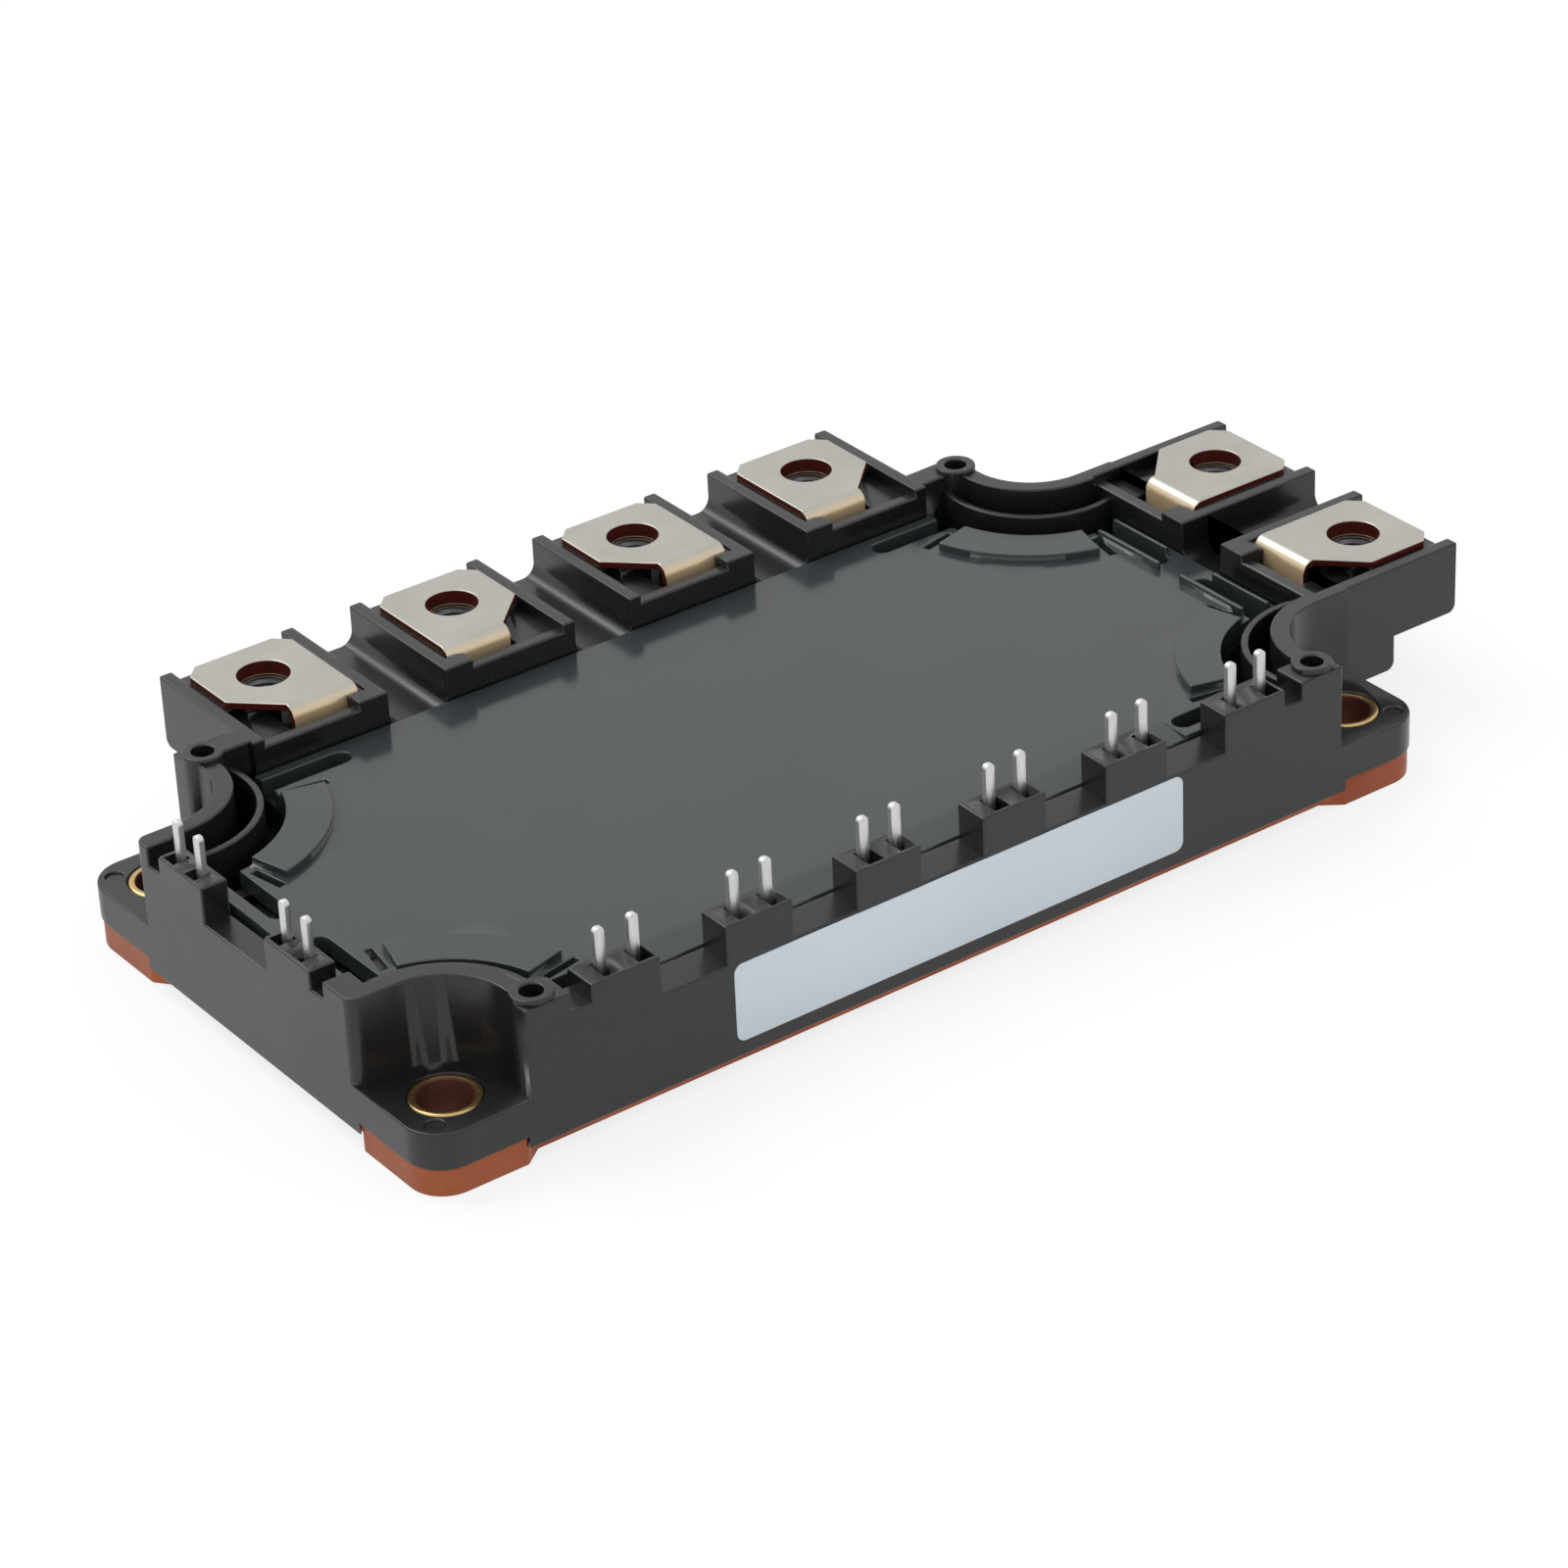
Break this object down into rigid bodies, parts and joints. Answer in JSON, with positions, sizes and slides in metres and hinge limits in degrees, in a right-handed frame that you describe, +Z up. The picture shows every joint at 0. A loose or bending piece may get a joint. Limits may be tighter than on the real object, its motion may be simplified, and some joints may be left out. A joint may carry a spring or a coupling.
{
  "type": "power transistor module",
  "caption": "Flat six-pack power transistor module with a brake switch: copper base plate, black moulded frame, screw terminals on two sides and contact pins on the other two.",
  "frame": {"origin": "centre of the four mounting holes, on the face of the base plate that lies on the heat sink", "axes": "+X along the long side towards the two-terminal end, +Y towards the four-terminal side, +Z up off the heat sink"},
  "size_m": [0.1367, 0.0766, 0.0205],
  "materials": {
    "copper": "bare copper, satin",
    "frame_plastic": "moulded, glossy black",
    "lid_plastic": "moulded, glossy black",
    "label": "coated, blank",
    "seal": "silicone sealant",
    "nut_steel": "zinc plated",
    "terminal_nickel": "nickel plated copper, satin",
    "pin_tin": "tin plated",
    "collar_brass": "bright",
    "solder": "dull",
    "inner_copper": "etched, satin",
    "substrate_ceramic": "fired, matte",
    "silicon": "polished",
    "thermistor": "matte",
    "bond_wire": "bright",
    "gel": "clear soft gel"
  },
  "bodies": {
    "root": {"baseplate": "copper", "housing_frame": "frame_plastic", "lid": "lid_plastic", "label": "label", "frame_seal": "seal", "collar_front_left": "collar_brass", "collar_front_right": "collar_brass", "collar_back_left": "collar_brass", "collar_back_right": "collar_brass", "terminal_b": "terminal_nickel", "terminal_u": "terminal_nickel", "terminal_v": "terminal_nickel", "terminal_w": "terminal_nickel", "terminal_p": "terminal_nickel", "terminal_n": "terminal_nickel", "terminal_nuts": "nut_steel", "pin_gate_up": "pin_tin", "pin_emitter_up": "pin_tin", "pin_gate_un": "pin_tin", "pin_emitter_un": "pin_tin", "pin_gate_vp": "pin_tin", "pin_emitter_vp": "pin_tin", "pin_gate_vn": "pin_tin", "pin_emitter_vn": "pin_tin", "pin_gate_wp": "pin_tin", "pin_emitter_wp": "pin_tin", "pin_gate_wn": "pin_tin", "pin_emitter_wn": "pin_tin", "pin_thermistor_a": "pin_tin", "pin_thermistor_b": "pin_tin", "pin_gate_brake": "pin_tin", "pin_emitter_brake": "pin_tin", "substrate_solder": "solder", "copper_back_u": "inner_copper", "copper_back_v": "inner_copper", "copper_back_w": "inner_copper", "ceramic_u": "substrate_ceramic", "ceramic_v": "substrate_ceramic", "ceramic_w": "substrate_ceramic", "copper_face_u": "inner_copper", "copper_face_v": "inner_copper", "copper_face_w": "inner_copper", "igbt_up": "silicon", "igbt_un": "silicon", "igbt_vp": "silicon", "igbt_vn": "silicon", "igbt_wp": "silicon", "igbt_wn": "silicon", "igbt_brake": "silicon", "diode_up": "silicon", "diode_un": "silicon", "diode_vp": "silicon", "diode_vn": "silicon", "diode_wp": "silicon", "diode_wn": "silicon", "diode_brake": "silicon", "thermistor": "thermistor", "bond_wires": "bond_wire", "silicone_gel": "gel"}
  },
  "joints": []
}
